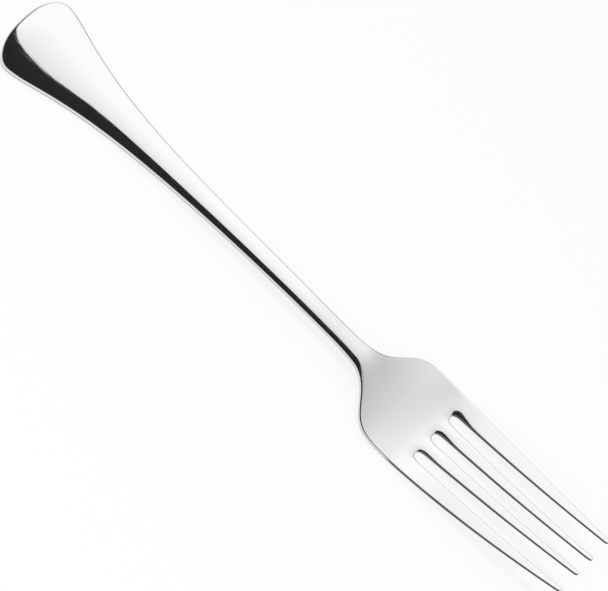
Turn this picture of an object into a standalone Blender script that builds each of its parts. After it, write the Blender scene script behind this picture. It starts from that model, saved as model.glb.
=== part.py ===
"""Serving fork, struck in one piece from stainless steel.

The fork lies as it does on a table, hollow side up. X runs along it, from the handle end
towards the tines, Y across it and Z up. The origin is in the middle of its length, on the
table. A place along the fork is its distance from the handle end, in metres.
"""

import math

import bmesh
import bpy

# Lengths, one after the other from the handle end
END_LENGTH = 0.0072
STEM_LENGTH = 0.1298
NECK_LENGTH = 0.0180
BOWL_LENGTH = 0.0127
TINE_LENGTH = 0.0573

# Handle outline, and the shoulders' curve from the shank out to the head
FLARE_WIDTH = 0.0270
FLARE_ROUNDING = 0.0050
FLARE_TAPER = 0.0255
WAIST_WIDTH = 0.0057
SHOULDER_LENGTH = 0.00805
SHOULDER_SOFTNESS = 0.00238
SHOULDER_LEAN = 0.71

# Tines and slots, at the slot roots and at the tips
MIDDLE_SLOT_WIDTH = 0.0033
INNER_TINE_WIDTH = 0.0044
SIDE_SLOT_WIDTH = 0.0032
OUTER_TINE_WIDTH = 0.0058
INNER_TIP_PITCH = 0.0061
OUTER_TIP_PITCH = 0.0204
TIP_WIDTH = 0.0013

# Side profile of the back's edges: a level start, a level crest before the neck, the drop to the
# head's lowest place and the rise to the tips. The hollow is struck into the head between them.
BACK_FLAT = 0.020
NECK_RISE = 0.0052
CREST_LENGTH = 0.0150
DROP_LENGTH = 0.0255
TIP_RISE = 0.0132
HOLLOW_DEPTH = 0.0007
HOLLOW_RUN_IN = 0.013
HOLLOW_FADE = 0.022

# Thickness of the edges, and how far the top swells above them at the flare and at the waist
END_EDGE = 0.0024
NECK_EDGE = 0.0017
BOWL_EDGE = 0.0016
TIP_EDGE = 0.0011
FLARE_CROWN = 0.00155
WAIST_CROWN = 0.00029
SHOULDER_CROWN_SHARE = 0.6
EDGE_RADIUS = 0.0004

# Exponents of the curves: the rounded end, the drawn-in tines and the swept-up tines
END_SQUARENESS = 2.4
TINE_DRAW = 1.6
TINE_SWEEP = 1.6

# Rows of faces along each stretch, columns across each strip, the last strip, counted from 0, and
# where the end's corners lie
END_ROW_COUNT = 2
STEM_ROW_COUNT = 13
NECK_ROW_COUNT = 9
HEAD_ROW_COUNT = 2
TINE_ROW_COUNT = 8
OUTER_TINE_COLUMN_COUNT = 2
INNER_TINE_COLUMN_COUNT = 1
SLOT_COLUMN_COUNT = 2
LAST_STRIP = 6
CORNER_SHARE = 0.87

STEEL_COLOUR = (0.76, 0.755, 0.74, 1.0)
STEEL_ROUGHNESS = 0.12

# Places along the fork that follow from the lengths
NECK_AT = END_LENGTH + STEM_LENGTH
LOW_AT = NECK_AT + DROP_LENGTH
BOWL_AT = NECK_AT + NECK_LENGTH
ROOT_AT = BOWL_AT + BOWL_LENGTH
TIPS_AT = ROOT_AT + TINE_LENGTH


def clear_scene():
    for old in list(bpy.data.objects):
        bpy.data.objects.remove(old, do_unlink=True)


def between(low, high, share):
    return low + (high - low) * share


def ease(start, end, place):
    """0 before start, 1 after end, and a smooth change between them."""
    share = min(max((place - start) / (end - start), 0.0), 1.0)
    return share * share * (3.0 - 2.0 * share)


def spread(start, end, count):
    """Places at even steps after start, up to end."""
    return [between(start, end, step / count) for step in range(1, count + 1)]


def root_edges():
    """Distances from the middle line to the tines' edges at the slot roots."""
    inner_start = MIDDLE_SLOT_WIDTH / 2.0
    inner_end = inner_start + INNER_TINE_WIDTH
    outer_start = inner_end + SIDE_SLOT_WIDTH
    return [inner_start, inner_end, outer_start, outer_start + OUTER_TINE_WIDTH]


def tip_edges():
    """The same distances at the tips."""
    half_tip = TIP_WIDTH / 2.0
    inner = INNER_TIP_PITCH / 2.0
    outer = OUTER_TIP_PITCH / 2.0
    return [inner - half_tip, inner + half_tip, outer - half_tip, outer + half_tip]


def handle_half_width(place):
    """Half the handle's width: round at the end, widest at the flare, drawn in to the waist."""
    beyond = max(place - END_LENGTH, 0.0)
    run = math.hypot(beyond, FLARE_ROUNDING) - FLARE_ROUNDING
    swell = (FLARE_WIDTH - WAIST_WIDTH) * math.exp(-run / FLARE_TAPER)
    short_of_flare = max(1.0 - place / END_LENGTH, 0.0)
    rounded = max(1.0 - short_of_flare**2, 0.0) ** (1.0 / END_SQUARENESS)
    return (WAIST_WIDTH + swell) / 2.0 * rounded


def head_half_width(place):
    """Half the head's width: widest at the bowl, drawn in through the slot roots to the tips."""
    root_drawn = (BOWL_LENGTH / (TIPS_AT - BOWL_AT)) ** TINE_DRAW
    at_root = root_edges()[-1]
    at_tips = tip_edges()[-1]
    at_bowl = (at_root - at_tips * root_drawn) / (1.0 - root_drawn)
    share = max(place - BOWL_AT, 0.0) / (TIPS_AT - BOWL_AT)
    return between(at_bowl, at_tips, share**TINE_DRAW)


def half_width(place):
    """Half the fork's width. The shoulders' curve is drawn out towards the shank."""
    short_of_bowl = (BOWL_AT - SHOULDER_LENGTH - place) / SHOULDER_SOFTNESS
    share = 1.0 / (1.0 + math.exp(short_of_bowl)) ** SHOULDER_LEAN
    return between(handle_half_width(place), head_half_width(place), share)


def edge_height(place):
    """Height of the back's edges above the table. The hollow's floor then just meets the table."""
    if place < NECK_AT:
        return NECK_RISE * ease(BACK_FLAT, NECK_AT - CREST_LENGTH, place)
    if place < LOW_AT:
        to_go = (LOW_AT - place) / DROP_LENGTH
        return between(HOLLOW_DEPTH, NECK_RISE, to_go**4 * (5.0 - 4.0 * to_go))
    share = (place - LOW_AT) / (TIPS_AT - LOW_AT)
    return between(HOLLOW_DEPTH, TIP_RISE, share**TINE_SWEEP)


def hollow(place, side):
    """How far the head is struck down below the level of its edges."""
    fade = 1.0 - ease(LOW_AT, LOW_AT + HOLLOW_FADE, place)
    depth = HOLLOW_DEPTH * ease(LOW_AT - HOLLOW_RUN_IN, LOW_AT, place) * fade
    off_middle = side / half_width(max(place, NECK_AT))
    return depth * (1.0 - off_middle**2)


def edge_thickness(place):
    if place < NECK_AT:
        return between(END_EDGE, NECK_EDGE, ease(END_LENGTH, NECK_AT, place))
    if place < BOWL_AT:
        return between(NECK_EDGE, BOWL_EDGE, ease(NECK_AT, BOWL_AT, place))
    return between(BOWL_EDGE, TIP_EDGE, ease(BOWL_AT, TIPS_AT, place))


def crown_height(place, side):
    """How far the top swells above its edges: more where it is wider, and not at all in the bowl."""
    half = half_width(max(place, END_LENGTH))
    width_share = (2.0 * half - WAIST_WIDTH) / (FLARE_WIDTH - WAIST_WIDTH)
    height = between(WAIST_CROWN, FLARE_CROWN, width_share) * (1.0 - ease(NECK_AT, LOW_AT, place))
    height *= between(1.0, SHOULDER_CROWN_SHARE, ease(NECK_AT, BOWL_AT, place))
    short_of_flare = max(1.0 - place / END_LENGTH, 0.0)
    off_middle = abs(side) / half
    return height * max(1.0 - short_of_flare**2 - off_middle**END_SQUARENESS, 0.0)


def column_lines():
    """The lines that run the fork's length, from -Y to +Y, each as (strip, share of its width).

    Strips 0, 2, 4 and 6 are the tines, and strips 1, 3 and 5 the slots between them.
    """
    half = [OUTER_TINE_COLUMN_COUNT, SLOT_COLUMN_COUNT, INNER_TINE_COLUMN_COUNT]
    lines = []
    for strip, columns in enumerate(half + [SLOT_COLUMN_COUNT] + half[::-1]):
        if strip % 2:
            lines += [(strip, step / columns) for step in range(1, columns)]
        else:
            lines += [(strip, step / columns) for step in range(columns + 1)]
    return lines


def strip_sides(strip, place):
    """The two sides of a strip at a place between the slot roots and the tips."""
    share = max(place - ROOT_AT, 0.0) / TINE_LENGTH
    edges = [between(root, tip, share) for root, tip in zip(root_edges(), tip_edges())]
    edges[-1] = half_width(place)
    sides = [-edge for edge in reversed(edges)] + edges
    return sides[strip], sides[strip + 1]


def end_point(step, share):
    """A point of the rounded handle end: step 0 is the end itself, END_ROW_COUNT the flare."""
    inward = 1.0 - step / END_ROW_COUNT
    at_line = (1.0 - abs(share * CORNER_SHARE) ** END_SQUARENESS) ** 0.5
    at_corner = (1.0 - CORNER_SHARE**END_SQUARENESS) ** 0.5
    place = END_LENGTH * (1.0 - at_line * inward)
    corner_place = END_LENGTH * (1.0 - at_corner * inward)
    return place, share * half_width(corner_place)


def root_point(strip, share):
    """A point of the row through the slot roots, where each slot ends in a half circle."""
    low, high = strip_sides(strip, ROOT_AT)
    inset = 1.0 - math.sqrt(0.5)
    if strip % 2:
        radius = (high - low) / 2.0
        angle = between(0.75, 0.25, share) * math.pi
        return ROOT_AT + radius * (1.0 - math.sin(angle)), low + radius * (1.0 + math.cos(angle))
    if strip > 0:
        slot_low, slot_high = strip_sides(strip - 1, ROOT_AT)
        low -= inset * (slot_high - slot_low) / 2.0
    if strip < LAST_STRIP:
        slot_low, slot_high = strip_sides(strip + 1, ROOT_AT)
        high += inset * (slot_high - slot_low) / 2.0
    return ROOT_AT + inset * SIDE_SLOT_WIDTH / 2.0, between(low, high, share)


def tip_point(strip, share):
    """A point of the rounded end of a tine."""
    low, high = strip_sides(strip, TIPS_AT)
    radius = TIP_WIDTH / 2.0
    angle = between(-0.25, 0.25, share) * math.pi
    return TIPS_AT - radius * (1.0 - math.cos(angle)), (low + high) / 2.0 + radius * math.sin(angle)


def blank_rows():
    """Rows of points on the flat blank as (place, side), and the row that the slots start from."""
    lines = column_lines()
    root_half = half_width(ROOT_AT)
    shares = [between(*strip_sides(strip, ROOT_AT), share) / root_half for strip, share in lines]
    rows = [[end_point(step, share) for share in shares] for step in range(END_ROW_COUNT + 1)]
    root_radius = SIDE_SLOT_WIDTH / 2.0
    head_end = ROOT_AT - root_radius
    tines_start = ROOT_AT + root_radius
    tines_end = TIPS_AT - TIP_WIDTH / 2.0
    places = spread(END_LENGTH, NECK_AT, STEM_ROW_COUNT)
    places += spread(NECK_AT, BOWL_AT, NECK_ROW_COUNT)
    places += spread(BOWL_AT, head_end, HEAD_ROW_COUNT)
    rows += [[(place, share * half_width(place)) for share in shares] for place in places]
    root_row = len(rows)
    rows.append([root_point(strip, share) for strip, share in lines])
    for place in [tines_start] + spread(tines_start, tines_end, TINE_ROW_COUNT):
        rows.append([(place, between(*strip_sides(strip, place), share)) for strip, share in lines])
    rows.append([tip_point(strip, share) for strip, share in lines])
    return rows, root_row


def cut_blank(mesh):
    """The flat blank: a sheet of faces with its slots cut out, placed to its outline."""
    rows, root_row = blank_rows()
    strips = [strip for strip, share in column_lines()]
    long_steps = len(rows) - 1
    cross_steps = len(strips) - 1
    bmesh.ops.create_grid(mesh, x_segments=long_steps, y_segments=cross_steps, size=0.5)
    slot_faces = []
    for face in mesh.faces:
        middle = face.calc_center_median()
        row = int((middle.x + 0.5) * long_steps)
        column = int((middle.y + 0.5) * cross_steps)
        if row >= root_row and (strips[column] % 2 or strips[column + 1] % 2):
            slot_faces.append(face)
    bmesh.ops.delete(mesh, geom=slot_faces, context="FACES")
    for vertex in mesh.verts:
        row = round((vertex.co.x + 0.5) * long_steps)
        column = round((vertex.co.y + 0.5) * cross_steps)
        vertex.co.x, vertex.co.y = rows[row][column]


def raise_plate(mesh):
    """Gives the blank the thickness of the bowl's edge and rounds the rims of its walls."""
    sheet = mesh.faces[:] + mesh.edges[:] + mesh.verts[:]
    raised = bmesh.ops.extrude_face_region(mesh, geom=sheet, use_keep_orig=True)
    top = [item for item in raised["geom"] if isinstance(item, bmesh.types.BMVert)]
    bmesh.ops.translate(mesh, vec=(0.0, 0.0, BOWL_EDGE), verts=top)
    bmesh.ops.recalc_face_normals(mesh, faces=mesh.faces[:])
    rims = []
    for edge in mesh.edges:
        level_faces = [face for face in edge.link_faces if abs(face.normal.z) > 0.5]
        if len(level_faces) == 1:
            rims.append(edge)
    bmesh.ops.bevel(
        mesh,
        geom=rims,
        offset=EDGE_RADIUS,
        segments=1,
        profile=0.5,
        affect="EDGES",
        clamp_overlap=True,
        material=-1,
    )


def strike(mesh):
    """Strikes the flat plate to its bent, hollowed and crowned form."""
    for vertex in mesh.verts:
        place, side, height = vertex.co
        thickness = edge_thickness(place) + crown_height(place, side)
        vertex.co.x = place - TIPS_AT / 2.0
        vertex.co.z = edge_height(place) - hollow(place, side) + thickness * height / BOWL_EDGE


def polished_steel():
    material = bpy.data.materials.new("polished_stainless_steel")
    material.use_nodes = True
    shader = material.node_tree.nodes["Principled BSDF"]
    shader.inputs["Base Color"].default_value = STEEL_COLOUR
    shader.inputs["Metallic"].default_value = 1.0
    shader.inputs["Roughness"].default_value = STEEL_ROUGHNESS
    return material


def make_fork():
    mesh = bmesh.new()
    cut_blank(mesh)
    raise_plate(mesh)
    strike(mesh)
    data = bpy.data.meshes.new("fork")
    mesh.to_mesh(data)
    mesh.free()
    data.shade_smooth()
    data.materials.append(polished_steel())
    fork = bpy.data.objects.new("fork", data)
    bpy.context.scene.collection.objects.link(fork)
    smooth = fork.modifiers.new("polished_form", "SUBSURF")
    smooth.levels = 1
    smooth.render_levels = 1


clear_scene()
make_fork()
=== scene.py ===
"""Polished serving fork on a white table, seen from above its right side."""

import math

import bmesh
import bpy
from mathutils import Matrix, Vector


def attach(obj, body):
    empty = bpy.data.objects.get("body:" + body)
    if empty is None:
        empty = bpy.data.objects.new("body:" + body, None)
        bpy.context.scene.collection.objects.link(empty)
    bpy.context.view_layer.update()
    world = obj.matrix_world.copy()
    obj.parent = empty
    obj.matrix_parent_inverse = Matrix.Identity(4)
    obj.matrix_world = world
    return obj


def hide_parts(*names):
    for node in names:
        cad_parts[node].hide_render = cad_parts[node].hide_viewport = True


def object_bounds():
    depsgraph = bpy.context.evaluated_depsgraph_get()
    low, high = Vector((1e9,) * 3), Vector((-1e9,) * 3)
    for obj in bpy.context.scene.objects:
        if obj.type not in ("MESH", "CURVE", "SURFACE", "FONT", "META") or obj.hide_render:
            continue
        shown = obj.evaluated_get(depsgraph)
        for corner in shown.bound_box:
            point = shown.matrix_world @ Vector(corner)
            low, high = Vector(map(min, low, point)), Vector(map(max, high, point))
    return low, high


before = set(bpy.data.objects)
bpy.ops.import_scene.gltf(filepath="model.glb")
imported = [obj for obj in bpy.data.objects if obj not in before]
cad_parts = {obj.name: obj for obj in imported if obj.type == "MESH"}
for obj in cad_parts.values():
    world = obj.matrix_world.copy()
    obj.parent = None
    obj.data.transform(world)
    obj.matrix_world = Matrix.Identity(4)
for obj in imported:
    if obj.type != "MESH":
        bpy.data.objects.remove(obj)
cad_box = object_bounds()

# The fork: one strip of stainless steel, blanked to its outline with three slots, rolled thin
# towards the tines, struck to its bent and hollowed form, and polished. It has no joints.
# Places along it are distances from the handle end, and all sizes are in metres.
END_LENGTH = 0.0072
STEM_LENGTH = 0.1298
NECK_LENGTH = 0.0180
BOWL_LENGTH = 0.0127
TINE_LENGTH = 0.0573
NECK_AT = END_LENGTH + STEM_LENGTH
BOWL_AT = NECK_AT + NECK_LENGTH
ROOT_AT = BOWL_AT + BOWL_LENGTH
TIPS_AT = ROOT_AT + TINE_LENGTH
HANDLE_END_X = cad_box[0][0]

FLARE_WIDTH = 0.0270
FLARE_ROUNDING = 0.0050
FLARE_TAPER = 0.0255
WAIST_WIDTH = 0.0057
SHOULDER_LENGTH = 0.00805
SHOULDER_SOFTNESS = 0.00238
SHOULDER_LEAN = 0.71
TIP_WIDTH = 0.0013
SLOT_RADIUS = 0.0016
ROOT_EDGES = (0.00165, 0.00605, 0.00925, 0.01505)
TIP_EDGES = (0.0024, 0.0037, 0.00955, 0.01085)

BACK_FLAT = 0.020
NECK_RISE = 0.0052
CREST_LENGTH = 0.0150
DROP_LENGTH = 0.0255
TIP_RISE = 0.0132
HOLLOW_DEPTH = 0.0007
HOLLOW_RUN_IN = 0.013
HOLLOW_FADE = 0.022
LOW_AT = NECK_AT + DROP_LENGTH
END_EDGE = 0.0024
NECK_EDGE = 0.0017
BOWL_EDGE = 0.0016
TIP_EDGE = 0.0011
FLARE_CROWN = 0.00169
WAIST_CROWN = 0.00029
SHOULDER_CROWN_SHARE = 0.4
SHOULDER_CROWN_RUN_IN = 0.0075
FLATTENED_SHARE = 0.326
FLATTENED_AT = 0.0185
FLATTENED_REACH = 0.0147
EDGE_RADIUS = 0.0004
EDGE_MARGIN = 0.00045
END_SQUARENESS = 2.4
TINE_DRAW = 1.6
TINE_SWEEP = 1.6
ROOT_ROLL = 0.00022
ROOT_ROLL_REACH = 0.0011
ROOT_ROLL_END = 0.010

END_ROWS = 6
STEM_ROWS = 36
NECK_ROWS = 14
HEAD_ROWS = 5
TINE_ROWS = 20
TINE_COLUMNS = 3
SLOT_COLUMNS = 4
STRIPS = 7
CORNER_SHARE = 0.87
RIM_SEGMENTS = 2
SUBDIVISIONS = 2


def between(low, high, share):
    return low + (high - low) * share


def ease(start, end, place):
    """Goes from 0 at the start to 1 at the end, and is level at both."""
    share = min(max((place - start) / (end - start), 0.0), 1.0)
    return share * share * (3.0 - 2.0 * share)


def spread(start, end, count):
    """Even places, from the first after the start up to the end."""
    return [between(start, end, step / count) for step in range(1, count + 1)]


def handle_half_width(place):
    """A rounded end, then a flare that tapers to the slim shank."""
    run = math.hypot(max(place - END_LENGTH, 0.0), FLARE_ROUNDING) - FLARE_ROUNDING
    swell = (FLARE_WIDTH - WAIST_WIDTH) * math.exp(-run / FLARE_TAPER)
    short_of_flare = max(1.0 - place / END_LENGTH, 0.0)
    rounded = max(1.0 - short_of_flare**2, 0.0) ** (1.0 / END_SQUARENESS)
    return (WAIST_WIDTH + swell) / 2.0 * rounded


def head_half_width(place):
    """The outer tines draw in from the bowl to their tips."""
    root_drawn = (BOWL_LENGTH / (TIPS_AT - BOWL_AT)) ** TINE_DRAW
    at_bowl = (ROOT_EDGES[-1] - TIP_EDGES[-1] * root_drawn) / (1.0 - root_drawn)
    share = max(place - BOWL_AT, 0.0) / (TIPS_AT - BOWL_AT)
    return between(at_bowl, TIP_EDGES[-1], share**TINE_DRAW)


def half_width(place):
    """Soft shoulders join the handle's outline to the head's."""
    short_of_bowl = (BOWL_AT - SHOULDER_LENGTH - place) / SHOULDER_SOFTNESS
    share = (1.0 + math.exp(short_of_bowl)) ** -SHOULDER_LEAN
    return between(handle_half_width(place), head_half_width(place), share)


def edge_height(place):
    """The back at the rims: up to the neck, down to the head, and up again along the tines."""
    if place < NECK_AT:
        return NECK_RISE * ease(BACK_FLAT, NECK_AT - CREST_LENGTH, place)
    if place < LOW_AT:
        # Level at both ends, and steepest a quarter of the way down
        to_go = (LOW_AT - place) / DROP_LENGTH
        return between(HOLLOW_DEPTH, NECK_RISE, to_go**4 * (5.0 - 4.0 * to_go))
    return between(HOLLOW_DEPTH, TIP_RISE, ((place - LOW_AT) / (TIPS_AT - LOW_AT)) ** TINE_SWEEP)


def hollow(place, side):
    """How far the head sinks below its rims, most along the middle."""
    fade = 1.0 - ease(LOW_AT, LOW_AT + HOLLOW_FADE, place)
    depth = HOLLOW_DEPTH * ease(LOW_AT - HOLLOW_RUN_IN, LOW_AT, place) * fade
    return depth * (1.0 - (side / half_width(max(place, NECK_AT))) ** 2)


def edge_thickness(place):
    if place < NECK_AT:
        return between(END_EDGE, NECK_EDGE, ease(END_LENGTH, NECK_AT, place))
    if place < BOWL_AT:
        return between(NECK_EDGE, BOWL_EDGE, ease(NECK_AT, BOWL_AT, place))
    return between(BOWL_EDGE, TIP_EDGE, ease(BOWL_AT, TIPS_AT, place))


def crown_height(place, side):
    """How far the handle's rounded top stands over its rims: less past the flare and at the neck."""
    half = half_width(max(place, END_LENGTH))
    width_share = (2.0 * half - WAIST_WIDTH) / (FLARE_WIDTH - WAIST_WIDTH)
    height = between(WAIST_CROWN, FLARE_CROWN, width_share) * (1.0 - ease(NECK_AT, LOW_AT, place))
    shoulder = ease(NECK_AT - SHOULDER_CROWN_RUN_IN, BOWL_AT, place)
    height *= between(1.0, SHOULDER_CROWN_SHARE, shoulder)
    height *= 1.0 - FLATTENED_SHARE * math.exp(-(((place - FLATTENED_AT) / FLATTENED_REACH) ** 2))
    short_of_flare = max(1.0 - place / END_LENGTH, 0.0)
    off_middle = abs(side) / half
    return height * max(1.0 - short_of_flare**2 - off_middle**END_SQUARENESS, 0.0)


def strip_sides(strip, place):
    """Both sides of one strip. Even strips are tines, and odd ones are the slots between them."""
    share = max(place - ROOT_AT, 0.0) / TINE_LENGTH
    edges = [between(root, tip, share) for root, tip in zip(ROOT_EDGES, TIP_EDGES)]
    edges[-1] = half_width(place)
    sides = [-edge for edge in reversed(edges)] + edges
    return sides[strip], sides[strip + 1]


def stem_side(place, share, inner_share):
    """Lines inside the rims keep clear of them, so that the rims can be rounded on the slim shank."""
    half = half_width(place)
    if abs(share) > inner_share:
        return share * half
    return share / inner_share * (half - max(EDGE_MARGIN, (1.0 - inner_share) * half))


def slot_gap(place, side):
    """How far a place is from the nearest slot's edge."""
    gaps = []
    for strip in range(1, STRIPS, 2):
        low, high = strip_sides(strip, max(place, ROOT_AT))
        radius = (high - low) / 2.0
        short_of_middle = max(ROOT_AT + radius - place, 0.0)
        gaps.append(math.hypot(side - (low + high) / 2.0, short_of_middle) - radius)
    return max(min(gaps), 0.0)


def root_roll(place, side):
    """How far the head's top is rolled down towards the slot roots."""
    share = max(1.0 - slot_gap(place, side) / ROOT_ROLL_REACH, 0.0)
    return ROOT_ROLL * share**2 * (1.0 - ease(ROOT_AT, ROOT_AT + ROOT_ROLL_END, place))


def end_point(step, share):
    """A point on one of the curved rows that follow the handle's rounded end."""
    inward = 1.0 - step / END_ROWS
    at_line = (1.0 - abs(share * CORNER_SHARE) ** END_SQUARENESS) ** 0.5
    at_corner = (1.0 - CORNER_SHARE**END_SQUARENESS) ** 0.5
    corner_place = END_LENGTH * (1.0 - at_corner * inward)
    return END_LENGTH * (1.0 - at_line * inward), share * half_width(corner_place)


def root_point(strip, share):
    """A point on the row through the slots' round roots."""
    low, high = strip_sides(strip, ROOT_AT)
    inset = (1.0 - math.sqrt(0.5)) * SLOT_RADIUS
    if strip % 2:
        radius = (high - low) / 2.0
        angle = math.radians(between(135.0, 45.0, share))
        return ROOT_AT + radius * (1.0 - math.sin(angle)), low + radius * (1.0 + math.cos(angle))
    low -= inset * (strip > 0)
    high += inset * (strip < STRIPS - 1)
    return ROOT_AT + inset, between(low, high, share)


def tip_point(strip, share):
    """A point on the last row, which rounds the tips of the tines."""
    low, high = strip_sides(strip, TIPS_AT)
    angle = math.radians(between(-45.0, 45.0, share))
    radius = TIP_WIDTH / 2.0
    return TIPS_AT - radius * (1.0 - math.cos(angle)), (low + high) / 2.0 + radius * math.sin(angle)


lines = []
for strip in range(STRIPS):
    if strip % 2:
        lines += [(strip, step / SLOT_COLUMNS) for step in range(1, SLOT_COLUMNS)]
    else:
        lines += [(strip, step / TINE_COLUMNS) for step in range(TINE_COLUMNS + 1)]
shares = [between(*strip_sides(strip, ROOT_AT), share) / half_width(ROOT_AT) for strip, share in lines]
inner_share = shares[-2]
stem_places = spread(END_LENGTH, NECK_AT, STEM_ROWS)
stem_places += spread(NECK_AT, BOWL_AT, NECK_ROWS)
stem_places += spread(BOWL_AT, ROOT_AT - SLOT_RADIUS, HEAD_ROWS)
tines_start = ROOT_AT + SLOT_RADIUS
tine_places = [tines_start] + spread(tines_start, TIPS_AT - TIP_WIDTH / 2.0, TINE_ROWS)

rows = [[end_point(step, share) for share in shares] for step in range(END_ROWS + 1)]
rows += [[(place, stem_side(place, share, inner_share)) for share in shares] for place in stem_places]
root_row = len(rows)
rows.append([root_point(strip, share) for strip, share in lines])
for place in tine_places:
    rows.append([(place, between(*strip_sides(strip, place), share)) for strip, share in lines])
rows.append([tip_point(strip, share) for strip, share in lines])

# The flat blank, with its slots cut out of a grid that starts 1 by 1 about its middle
long_steps = len(rows) - 1
cross_steps = len(lines) - 1
blank = bmesh.new()
bmesh.ops.create_grid(blank, x_segments=long_steps, y_segments=cross_steps, size=0.5)
slot_faces = []
for face in blank.faces:
    middle = face.calc_center_median()
    column = int((middle.y + 0.5) * cross_steps)
    in_slot = lines[column][0] % 2 or lines[column + 1][0] % 2
    if in_slot and int((middle.x + 0.5) * long_steps) >= root_row:
        slot_faces.append(face)
bmesh.ops.delete(blank, geom=slot_faces, context="FACES")
for vertex in blank.verts:
    row = round((vertex.co.x + 0.5) * long_steps)
    column = round((vertex.co.y + 0.5) * cross_steps)
    vertex.co.x, vertex.co.y = rows[row][column]

# Its thickness, and the rounded rims, where a level face meets a wall
LEVEL_FROM = 0.5
sheet = blank.faces[:] + blank.edges[:] + blank.verts[:]
raised = bmesh.ops.extrude_face_region(blank, geom=sheet, use_keep_orig=True)
top = [item for item in raised["geom"] if isinstance(item, bmesh.types.BMVert)]
bmesh.ops.translate(blank, vec=(0.0, 0.0, BOWL_EDGE), verts=top)
bmesh.ops.recalc_face_normals(blank, faces=blank.faces[:])
rims = []
for edge in blank.edges:
    level_faces = [face for face in edge.link_faces if abs(face.normal.z) > LEVEL_FROM]
    if len(level_faces) == 1:
        rims.append(edge)
bmesh.ops.bevel(
    blank,
    geom=rims,
    offset=EDGE_RADIUS,
    segments=RIM_SEGMENTS,
    profile=0.5,
    affect="EDGES",
    clamp_overlap=True,
    material=-1,
)

# Struck to its form. The walls of the tines, which the shears left unpolished, are painted near
# black as painted shade, and the low rims are painted dark as painted shade along the fork's underside.
# Both are marked for the material.
WALL_SHADE_RUN_IN = 0.006
WALL_FROM = EDGE_RADIUS / 4.0
LOW_RIM_TO = EDGE_RADIUS * 1.1
wall_shade_layer = blank.verts.layers.float.new("painted_wall_shade")
rim_shade_layer = blank.verts.layers.float.new("painted_rim_shade")
for vertex in blank.verts:
    place, side, height = vertex.co
    thickness = edge_thickness(place) + crown_height(place, side) - root_roll(place, side)
    on_wall = min(height, BOWL_EDGE - height) > WALL_FROM
    # Painted shade: the walls of the tines are marked to be darkened to near black.
    vertex[wall_shade_layer] = ease(ROOT_AT - WALL_SHADE_RUN_IN, ROOT_AT, place) * on_wall
    # Painted shade: the low rims along the underside are marked to be darkened.
    vertex[rim_shade_layer] = float(height < LOW_RIM_TO)
    vertex.co.x = HANDLE_END_X + place
    vertex.co.z = edge_height(place) - hollow(place, side) + thickness * height / BOWL_EDGE


def make_object(name, shape):
    """Turns a bmesh into an object at the origin."""
    mesh = bpy.data.meshes.new(name)
    shape.to_mesh(mesh)
    shape.free()
    made = bpy.data.objects.new(name, mesh)
    bpy.context.scene.collection.objects.link(made)
    return made


fork = make_object("fork_polished", blank)
fork.data.shade_smooth()
smooth = fork.modifiers.new("polished_form", "SUBSURF")
smooth.levels = SUBDIVISIONS
smooth.render_levels = SUBDIVISIONS


def linear(hex_colour):
    """An sRGB hex colour as the linear values that a shader takes."""
    channels = [int(hex_colour[start : start + 2], 16) / 255.0 for start in (1, 3, 5)]
    return tuple(c / 12.92 if c <= 0.04045 else ((c + 0.055) / 1.055) ** 2.4 for c in channels) + (1.0,)


def add(tree, kind, settings=(), inputs=()):
    """Adds a node: settings are its properties, and inputs its sockets' values or links."""
    node = tree.nodes.new(kind)
    for name, value in dict(settings).items():
        setattr(node, name, value)
    for name, value in dict(inputs).items():
        if isinstance(value, bpy.types.NodeSocket):
            tree.links.new(value, node.inputs[name])
        else:
            node.inputs[name].default_value = value
    return node


# Stainless steel, mirror polished. Polishing leaves faint lines along the fork, and the surface
# waves slightly, so the edges of reflections wander. The low rims are painted dark as painted shade
# along the underside, and the unpolished sheared walls of the tines are painted near black as painted
# shade between the tines. Both draw the fork's outline. Real polishing lines are about 0.02 mm apart.
# They are drawn 0.5 mm apart, which is about the finest that a picture of the whole fork can show.
STEEL_COLOUR = "#E3E3E2"
RIM_SHADE_COLOUR = "#2A2A29"
RIM_SHADE_FROM = 0.55
WALL_SHADE_COLOUR = "#141413"
WALL_SHADE_FULL = 0.35
LINE_PITCH = 0.0005
LINE_LENGTH = 0.030
LINE_DEPTH = 4e-7
WAVE_LENGTH = 0.012
WAVE_DEPTH = 1.2e-5
POLISH_NOISE = (0.50, 0.80)
STEEL_ROUGHNESS = (0.05, 0.12)
steel = bpy.data.materials.new("polished_stainless_steel")
steel.use_nodes = True
tree = steel.node_tree
shader = tree.nodes["Principled BSDF"]
shader.inputs["Metallic"].default_value = 1.0
spot = add(tree, "ShaderNodeTexCoord").outputs["Object"]
stretch = (1.0 / LINE_LENGTH, 1.0 / LINE_PITCH, 1.0 / LINE_PITCH)
drawn_out = add(tree, "ShaderNodeMapping", {}, {"Vector": spot, "Scale": stretch})
polish = add(
    tree, "ShaderNodeTexNoise", {}, {"Vector": drawn_out.outputs["Vector"], "Scale": 1.0, "Detail": 2.0}
)
waves = add(tree, "ShaderNodeTexNoise", {}, {"Vector": spot, "Scale": 1.0 / WAVE_LENGTH, "Detail": 1.0})
rough = add(
    tree,
    "ShaderNodeMapRange",
    {},
    {
        "Value": polish.outputs["Fac"],
        "From Min": POLISH_NOISE[0],
        "From Max": POLISH_NOISE[1],
        "To Min": STEEL_ROUGHNESS[0],
        "To Max": STEEL_ROUGHNESS[1],
    },
)
tree.links.new(rough.outputs["Result"], shader.inputs["Roughness"])
wave_height = add(
    tree, "ShaderNodeMath", {"operation": "MULTIPLY"}, {0: waves.outputs["Fac"], 1: WAVE_DEPTH}
)
height = add(
    tree,
    "ShaderNodeMath",
    {"operation": "MULTIPLY_ADD"},
    {0: polish.outputs["Fac"], 1: LINE_DEPTH, 2: wave_height.outputs["Value"]},
)
bump = add(tree, "ShaderNodeBump", {}, {"Height": height.outputs["Value"], "Distance": 1.0})
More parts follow.
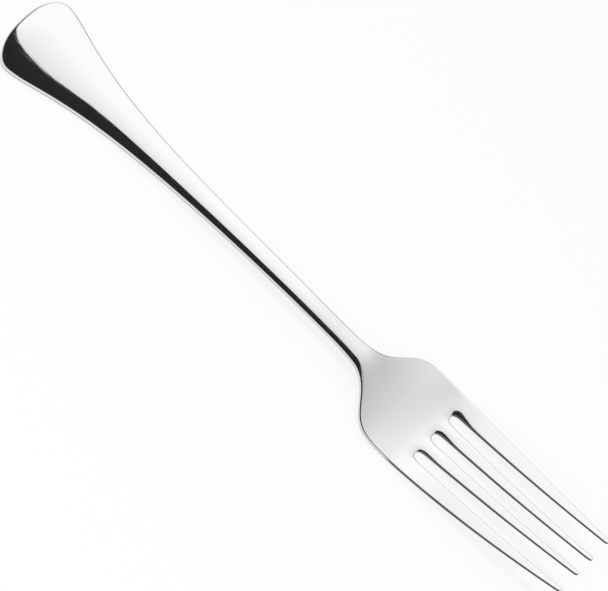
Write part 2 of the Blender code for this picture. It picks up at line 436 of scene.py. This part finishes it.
tree.links.new(bump.outputs["Normal"], shader.inputs["Normal"])
# Painted shade: the low rims along the underside are darkened.
painted_rim_shade = add(tree, "ShaderNodeAttribute", {"attribute_name": "painted_rim_shade"})
rim_shade_share = add(
    tree,
    "ShaderNodeMapRange",
    {"interpolation_type": "SMOOTHSTEP"},
    {"Value": painted_rim_shade.outputs["Fac"], "From Min": RIM_SHADE_FROM},
)
with_rim_shade = add(
    tree,
    "ShaderNodeMix",
    {"data_type": "RGBA"},
    {0: rim_shade_share.outputs["Result"], 6: linear(STEEL_COLOUR), 7: linear(RIM_SHADE_COLOUR)},
)
# Painted shade: the walls of the tines are darkened to near black.
painted_wall_shade = add(tree, "ShaderNodeAttribute", {"attribute_name": "painted_wall_shade"})
wall_shade_share = add(
    tree, "ShaderNodeMapRange", {}, {"Value": painted_wall_shade.outputs["Fac"], "From Max": WALL_SHADE_FULL}
)
colour = add(
    tree,
    "ShaderNodeMix",
    {"data_type": "RGBA"},
    {0: wall_shade_share.outputs["Result"], 6: with_rim_shade.outputs[2], 7: linear(WALL_SHADE_COLOUR)},
)
tree.links.new(colour.outputs[2], shader.inputs["Base Color"])
fork.data.materials.append(steel)

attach(fork, "root")
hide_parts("fork")

# The table: a wide board, painted matt white, that the fork lies on. The camera and the steel see
# it as almost pure white, and it still takes the fork's soft shadow.
TABLE_SIZE = 6.0
TABLE_COLOUR = "#F8F8F7"
TABLE_WHITE_SHARE = 0.86
board = bmesh.new()
bmesh.ops.create_grid(board, x_segments=1, y_segments=1, size=TABLE_SIZE / 2.0)
table = make_object("table", board)
table_paint = bpy.data.materials.new("matt_white_board")
table_paint.use_nodes = True
tree = table_paint.node_tree
tree.nodes.clear()
paint = add(tree, "ShaderNodeBsdfDiffuse", {}, {"Color": linear(TABLE_COLOUR)})
white = add(tree, "ShaderNodeEmission", {}, {"Strength": 1.0})
ray = add(tree, "ShaderNodeLightPath")
shown = add(
    tree,
    "ShaderNodeMath",
    {"operation": "MAXIMUM"},
    {0: ray.outputs["Is Camera Ray"], 1: ray.outputs["Is Glossy Ray"]},
)
white_share = add(
    tree,
    "ShaderNodeMath",
    {"operation": "MULTIPLY"},
    {0: shown.outputs["Value"], 1: TABLE_WHITE_SHARE},
)
surface = add(
    tree,
    "ShaderNodeMixShader",
    {},
    {0: white_share.outputs["Value"], 1: paint.outputs["BSDF"], 2: white.outputs["Emission"]},
)
add(tree, "ShaderNodeOutputMaterial", {}, {"Surface": surface.outputs["Shader"]})
table.data.materials.append(table_paint)

# The softbox: a white cloth panel, lit from behind, over the fork's far side. It dims a little over
# the fork's middle and fades past the tines, which dims the neck and the head in the steel. It is
# also dimmer along its near edge.
SOFTBOX_HEIGHT = 0.75
SOFTBOX_X = (-0.9, 1.3)
SOFTBOX_Y = (0.12, 1.4)
SOFTBOX_STEP_X = (-0.06, 0.06)
SOFTBOX_STEP_SHARE = 0.88
SOFTBOX_FADE_X = (0.13, 1.08)
SOFTBOX_FADE_SLANT = 0.3
SOFTBOX_END_SHARE = 0.5
SOFTBOX_FADE_Y = (0.0, 0.40)
SOFTBOX_EDGE_SHARE = 0.7
SOFTBOX_STRENGTH = 1.26
panel = bmesh.new()
bmesh.ops.create_grid(panel, x_segments=1, y_segments=1, size=0.5)
panel_size = (SOFTBOX_X[1] - SOFTBOX_X[0], SOFTBOX_Y[1] - SOFTBOX_Y[0], 1.0)
bmesh.ops.scale(panel, vec=panel_size, verts=panel.verts[:])
panel_middle = (sum(SOFTBOX_X) / 2.0, sum(SOFTBOX_Y) / 2.0, SOFTBOX_HEIGHT)
bmesh.ops.translate(panel, vec=panel_middle, verts=panel.verts[:])
softbox = make_object("softbox", panel)
softbox.visible_camera = False
cloth = bpy.data.materials.new("lit_white_cloth")
cloth.use_nodes = True
tree = cloth.node_tree
tree.nodes.clear()
spot = add(tree, "ShaderNodeSeparateXYZ", {}, {0: add(tree, "ShaderNodeTexCoord").outputs["Object"]})
step = add(
    tree,
    "ShaderNodeMapRange",
    {"interpolation_type": "SMOOTHSTEP"},
    {
        "Value": spot.outputs["X"],
        "From Min": SOFTBOX_STEP_X[0],
        "From Max": SOFTBOX_STEP_X[1],
        "To Min": SOFTBOX_STRENGTH,
        "To Max": SOFTBOX_STRENGTH * SOFTBOX_STEP_SHARE,
    },
)
slanted = add(
    tree,
    "ShaderNodeMath",
    {"operation": "MULTIPLY_ADD"},
    {0: spot.outputs["Y"], 1: SOFTBOX_FADE_SLANT, 2: spot.outputs["X"]},
)
along = add(
    tree,
    "ShaderNodeMapRange",
    {},
    {
        "Value": slanted.outputs["Value"],
        "From Min": SOFTBOX_FADE_X[0],
        "From Max": SOFTBOX_FADE_X[1],
        "To Min": 1.0,
        "To Max": SOFTBOX_END_SHARE,
    },
)
across = add(
    tree,
    "ShaderNodeMapRange",
    {"interpolation_type": "SMOOTHSTEP"},
    {
        "Value": spot.outputs["Y"],
        "From Min": SOFTBOX_FADE_Y[0],
        "From Max": SOFTBOX_FADE_Y[1],
        "To Min": SOFTBOX_EDGE_SHARE,
    },
)
faded = add(
    tree,
    "ShaderNodeMath",
    {"operation": "MULTIPLY"},
    {0: step.outputs["Result"], 1: along.outputs["Result"]},
)
strength = add(
    tree,
    "ShaderNodeMath",
    {"operation": "MULTIPLY"},
    {0: faded.outputs["Value"], 1: across.outputs["Result"]},
)
glow = add(tree, "ShaderNodeEmission", {}, {"Strength": strength.outputs["Value"]})
add(tree, "ShaderNodeOutputMaterial", {}, {"Surface": glow.outputs["Emission"]})
softbox.data.materials.append(cloth)

# The black flag: a curved black sheet over the camera's side of the table. Its top edge hangs
# above the fork and bends away past the handle end. Polished steel shows it as a dark band, and
# nothing else meets it.
FLAG_RADIUS = 0.74
FLAG_X = (-1.2, 0.80)
FLAG_TOP_Y = 0.127
FLAG_SLANT = 0.15
FLAG_SLANT_FROM = 0.05
FLAG_FALL = 2.5
FLAG_FALL_FROM = 0.45
FLAG_BEND = 0.313
FLAG_BEND_FROM = -0.058
FLAG_LOW_ANGLE = math.radians(-42.0)
FLAG_COLOUR = "#323232"
FLAG_LONG_STEPS = 120
FLAG_CROSS_STEPS = 24
arc = bmesh.new()
bmesh.ops.create_grid(arc, x_segments=FLAG_LONG_STEPS, y_segments=FLAG_CROSS_STEPS, size=0.5)
for vertex in arc.verts:
    x = between(*FLAG_X, vertex.co.x + 0.5)
    top_y = FLAG_TOP_Y - FLAG_SLANT * max(x - FLAG_SLANT_FROM, 0.0)
    top_y += FLAG_BEND * max(FLAG_BEND_FROM - x, 0.0) ** 2
    top_y -= FLAG_FALL * max(x - FLAG_FALL_FROM, 0.0) ** 2
    angle = between(FLAG_LOW_ANGLE, math.asin(top_y / FLAG_RADIUS), vertex.co.y + 0.5)
    vertex.co = (x, FLAG_RADIUS * math.sin(angle), FLAG_RADIUS * math.cos(angle))


def show_in_steel_only(sheet):
    """Keeps a sheet out of the picture, and its shade off the board."""
    sheet.visible_camera = False
    sheet.visible_diffuse = False
    sheet.visible_shadow = False


def matt(name, hex_colour):
    """A material of one colour, which has no shine at all."""
    material = bpy.data.materials.new(name)
    material.use_nodes = True
    sockets = material.node_tree.nodes["Principled BSDF"].inputs
    sockets["Base Color"].default_value = linear(hex_colour)
    sockets["Roughness"].default_value = 1.0
    sockets["Specular IOR Level"].default_value = 0.0
    return material


flag = make_object("black_flag", arc)
show_in_steel_only(flag)
flag.data.materials.append(matt("black_felt", FLAG_COLOUR))

# The edge card: a low curved grey card beyond the fork's far side, out of the picture. Rounded
# rims show it as a thin dark line, which sets them off from the white board.
CARD_RADIUS = 0.4
CARD_HEIGHT = 0.28
CARD_TURN = (math.radians(25.0), math.radians(150.0))
CARD_TAPER = 0.5
CARD_COLOUR = "#808080"
CARD_STEPS = 24
ring = bmesh.new()
bmesh.ops.create_grid(ring, x_segments=CARD_STEPS, y_segments=1, size=0.5)
for vertex in ring.verts:
    turn = between(*CARD_TURN, vertex.co.x + 0.5)
    rise = CARD_HEIGHT * (vertex.co.y + 0.5) * ease(0.0, CARD_TAPER, 0.5 - vertex.co.x)
    vertex.co = (CARD_RADIUS * math.cos(turn), CARD_RADIUS * math.sin(turn), rise)
card = make_object("edge_card", ring)
show_in_steel_only(card)
card.data.materials.append(matt("grey_card", CARD_COLOUR))

# The room: white walls that are lit all round, at about half the strength of white. Where the
# camera looks past the board, it sees plain white.
ROOM_COLOUR = "#FFFFFF"
ROOM_STRENGTH = 0.55
room = bpy.data.worlds.new("pale_room")
room.use_nodes = True
bpy.context.scene.world = room
tree = room.node_tree
tree.nodes.clear()
walls = add(tree, "ShaderNodeBackground", {}, {"Color": linear(ROOM_COLOUR), "Strength": ROOM_STRENGTH})
backdrop = add(tree, "ShaderNodeBackground", {}, {"Color": linear(ROOM_COLOUR), "Strength": 1.0})
ray = add(tree, "ShaderNodeLightPath")
seen = add(
    tree,
    "ShaderNodeMixShader",
    {},
    {0: ray.outputs["Is Camera Ray"], 1: walls.outputs["Background"], 2: backdrop.outputs["Background"]},
)
add(tree, "ShaderNodeOutputWorld", {}, {"Surface": seen.outputs["Shader"]})

# The key light: a broad soft lamp above the board, turned to its middle. It gives the fork's soft
# shadow, and the steel doesn't show it.
KEY_SIZE = 1.0
KEY_POWER = 35.0
KEY_PLACE = (-0.3, 0.5, 1.2)
key_lamp = bpy.data.lights.new("key_light", "AREA")
key_lamp.shape = "SQUARE"
key_lamp.size = KEY_SIZE
key_lamp.energy = KEY_POWER
key = bpy.data.objects.new("key_light", key_lamp)
key.location = KEY_PLACE
key.visible_glossy = False
key_tilt = -math.atan2(KEY_PLACE[1], KEY_PLACE[2])
key_lean = -math.atan2(-KEY_PLACE[0], KEY_PLACE[2])
key.rotation_euler = (key_tilt, key_lean, 0.0)
bpy.context.scene.collection.objects.link(key)

# The camera: a long lens, high over the fork's right side, turned so that the fork runs from the
# top left of the picture to the bottom right.
LENS = 500.0
SENSOR_WIDTH = 36.0
PICTURE_WIDTH = 0.17405
ELEVATION = 70.0
ROLL = 45.117
AIM = (0.0008, 0.0, 0.00754)
CLIP_END = 100.0
lens = bpy.data.cameras.new("camera")
lens.lens = LENS
lens.sensor_width = SENSOR_WIDTH
lens.clip_end = CLIP_END
camera = bpy.data.objects.new("camera", lens)
bpy.context.scene.collection.objects.link(camera)
tilt = Matrix.Rotation(math.radians(90.0 - ELEVATION), 4, "X")
roll = Matrix.Rotation(math.radians(ROLL), 4, "Z")
distance = PICTURE_WIDTH * LENS / SENSOR_WIDTH
camera.matrix_world = Matrix.Translation(AIM) @ tilt @ roll @ Matrix.Translation((0.0, 0.0, distance))
bpy.context.scene.camera = camera
bpy.context.scene.view_settings.view_transform = "Standard"
